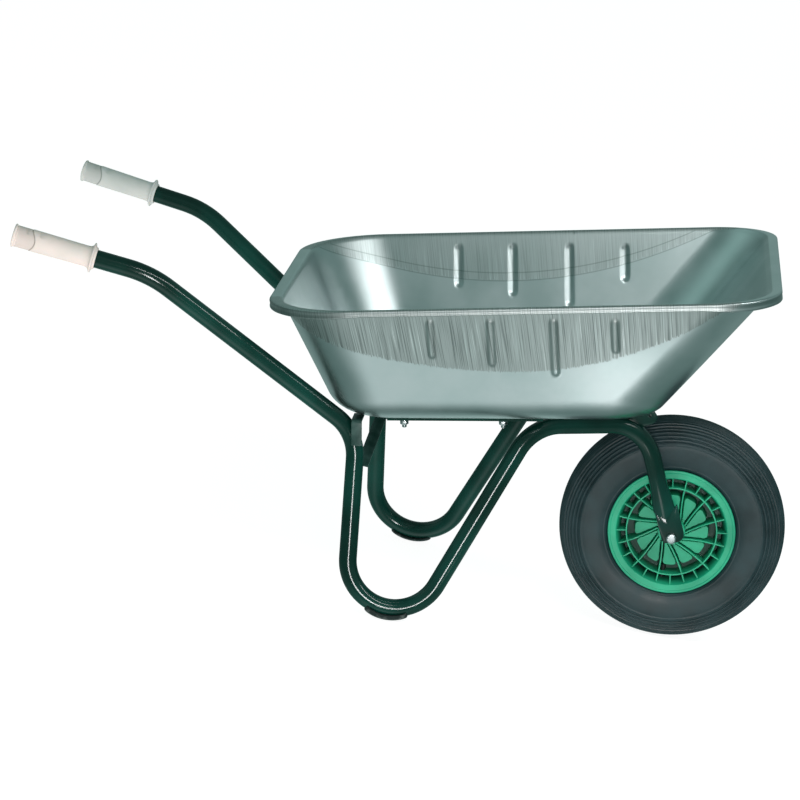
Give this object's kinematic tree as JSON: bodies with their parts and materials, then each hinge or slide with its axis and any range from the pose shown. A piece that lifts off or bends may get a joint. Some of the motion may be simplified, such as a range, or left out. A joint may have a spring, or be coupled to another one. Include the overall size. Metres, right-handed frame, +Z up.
{
  "type": "wheelbarrow",
  "caption": "Builder's wheelbarrow: pressed galvanised tray on a bent green tube frame with looped feet, hand grips and a pneumatic wheel.",
  "frame": {"origin": "on the ground under the middle of the barrow's bounding box, with the barrow standing on its wheel and feet", "axes": "+X forward to the wheel, +Y to the left of someone holding the grips, +Z up"},
  "size_m": [1.393, 0.67, 0.705],
  "materials": {
    "frame_paint": "glossy bottle green enamel on steel tube and plate",
    "tray_zinc": "hot dip galvanised pressed steel with draw marks",
    "bolt_zinc": "bright zinc plated",
    "grip": "pale soft moulded plastic",
    "tyre": "ribbed black rubber, satin",
    "inner_rubber": "matt black rubber",
    "rim_plastic": "emerald green moulded plastic, satin",
    "bearing_steel": "ground steel",
    "shoe_steel": "dark painted wear plate"
  },
  "bodies": {
    "frame": {"left_frame_tube": "frame_paint", "right_frame_tube": "frame_paint", "left_grip": "grip", "right_grip": "grip", "left_foot_shoe": "shoe_steel", "right_foot_shoe": "shoe_steel", "left_rear_bracket": "frame_paint", "right_rear_bracket": "frame_paint", "left_leg_brace": "frame_paint", "right_leg_brace": "frame_paint", "left_tray_rail": "frame_paint", "right_tray_rail": "frame_paint", "left_axle_plate": "frame_paint", "right_axle_plate": "frame_paint", "rear_cross_bar": "frame_paint", "front_bracket": "frame_paint", "tray": "tray_zinc", "rear_left_tray_bolt": "bolt_zinc", "rear_left_tray_washer": "bolt_zinc", "rear_left_tray_nut": "bolt_zinc", "rear_right_tray_bolt": "bolt_zinc", "rear_right_tray_washer": "bolt_zinc", "rear_right_tray_nut": "bolt_zinc", "middle_left_tray_bolt": "bolt_zinc", "middle_left_tray_washer": "bolt_zinc", "middle_left_tray_nut": "bolt_zinc", "middle_right_tray_bolt": "bolt_zinc", "middle_right_tray_washer": "bolt_zinc", "middle_right_tray_nut": "bolt_zinc", "front_left_tray_bolt": "bolt_zinc", "front_left_tray_washer": "bolt_zinc", "front_left_tray_nut": "bolt_zinc", "front_right_tray_bolt": "bolt_zinc", "front_right_tray_washer": "bolt_zinc", "front_right_tray_nut": "bolt_zinc", "axle_bolt": "bolt_zinc", "axle_nut": "bolt_zinc", "axle_sleeve": "bearing_steel", "left_axle_spacer": "bolt_zinc", "right_axle_spacer": "bolt_zinc", "left_axle_washer": "bolt_zinc", "right_axle_washer": "bolt_zinc"},
    "wheel": {"tyre": "tyre", "inner_tube": "inner_rubber", "rim": "rim_plastic", "valve_stem": "inner_rubber", "valve_cap": "inner_rubber", "left_bearing": "bearing_steel", "right_bearing": "bearing_steel"}
  },
  "joints": [
    {"name": "wheel_spin", "type": "hinge", "parent": "frame", "child": "wheel", "pos_m": [0.4965, 0, 0.2], "axis": [0, 1, 0], "continuous": true}
  ]
}
